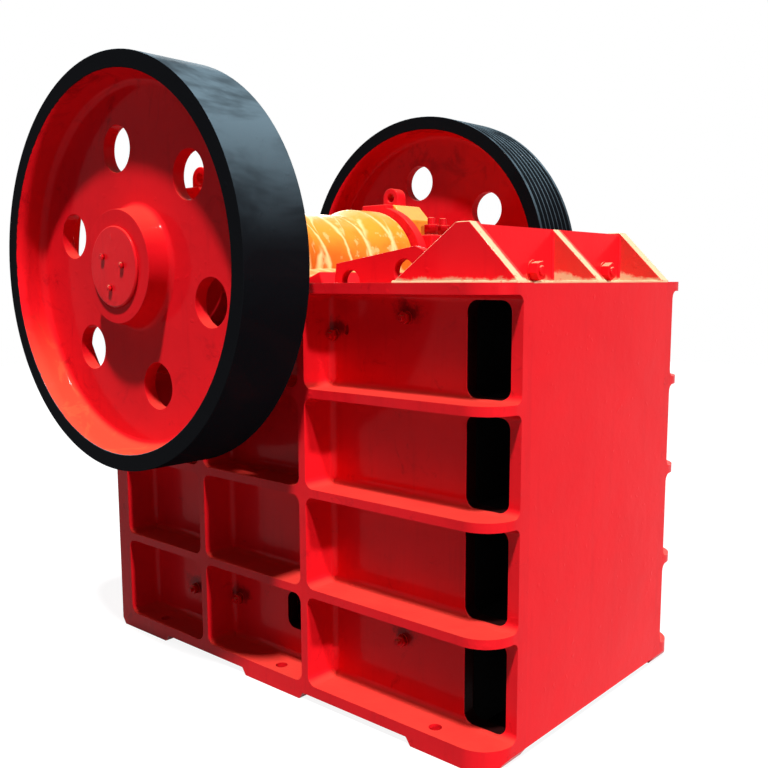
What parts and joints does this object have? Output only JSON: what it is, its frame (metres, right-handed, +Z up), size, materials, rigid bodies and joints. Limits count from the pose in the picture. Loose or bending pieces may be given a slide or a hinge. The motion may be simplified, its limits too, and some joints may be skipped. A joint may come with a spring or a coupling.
{
  "type": "single toggle jaw crusher",
  "caption": "Single toggle jaw crusher with ribbed side walls, hollow front wall, overhung flywheel and grooved belt pulley on an eccentric shaft that drives the moving jaw.",
  "frame": {"origin": "centre of the anchor hole rectangle, on the plane the foot pads rest on", "axes": "+X towards the fixed jaw wall, +Y towards the belt pulley, +Z up"},
  "size_m": [2.291, 2.078, 2.385],
  "materials": {
    "red_paint": "glossy red enamel over cast and welded steel",
    "orange_paint": "glossy yellow-orange enamel",
    "wheel_paint": "glossy red web and hub, black satin rim",
    "manganese_steel": "bare cast manganese steel",
    "cast_steel": "bare cast steel",
    "dark_steel": "dark oiled steel",
    "turned_steel": "turned shaft steel"
  },
  "bodies": {
    "frame": {"front_plate": "red_paint", "front_top_plate": "red_paint", "inner_front_wall": "red_paint", "front_box_shelves": "red_paint", "middle_gusset": "red_paint", "fixed_jaw_plate": "manganese_steel", "toggle_plate": "cast_steel", "rear_toggle_seat": "cast_steel", "adjusting_block": "red_paint", "block_ledges": "red_paint", "shim_pack": "cast_steel", "rear_beam": "red_paint", "rear_wall": "red_paint", "tension_rod": "dark_steel", "spring_washers": "dark_steel", "rod_spring": "dark_steel", "side_plate_near": "red_paint", "side_plate_far": "red_paint", "top_flange_near": "red_paint", "top_flange_far": "red_paint", "shelf_ribs_near": "red_paint", "shelf_ribs_far": "red_paint", "upright_ribs_near": "red_paint", "upright_ribs_far": "red_paint", "base_rail_near": "red_paint", "base_rail_far": "red_paint", "gable_near": "red_paint", "gable_far": "red_paint", "cheek_plate_near": "red_paint", "cheek_plate_far": "red_paint", "bearing_seat_near": "red_paint", "bearing_seat_far": "red_paint", "bearing_cap_near": "red_paint", "bearing_cap_far": "orange_paint", "seal_ring_near": "red_paint", "seal_ring_far": "red_paint"},
    "rotor": {"eccentric_shaft": "turned_steel", "flywheel": "wheel_paint", "belt_pulley": "wheel_paint", "shaft_end_plate_near": "red_paint", "shaft_end_plate_far": "red_paint"},
    "moving_jaw": {"pitman": "orange_paint", "moving_jaw_plate": "manganese_steel", "jaw_wedge": "red_paint", "rod_lugs": "orange_paint", "rod_pin": "dark_steel", "pitman_toggle_seat": "cast_steel"}
  },
  "joints": [
    {"name": "shaft_spin", "type": "hinge", "parent": "frame", "child": "rotor", "pos_m": [-0.451, 0, 1.62], "axis": [0, 1, 0], "continuous": true},
    {"name": "jaw_swing", "type": "hinge", "parent": "rotor", "child": "moving_jaw", "pos_m": [-0.47, 0, 1.62], "axis": [0, 1, 0], "continuous": true}
  ],
  "couplings": [
    {"joint": "jaw_swing", "follows": "shaft_spin", "ratio": -1}
  ]
}
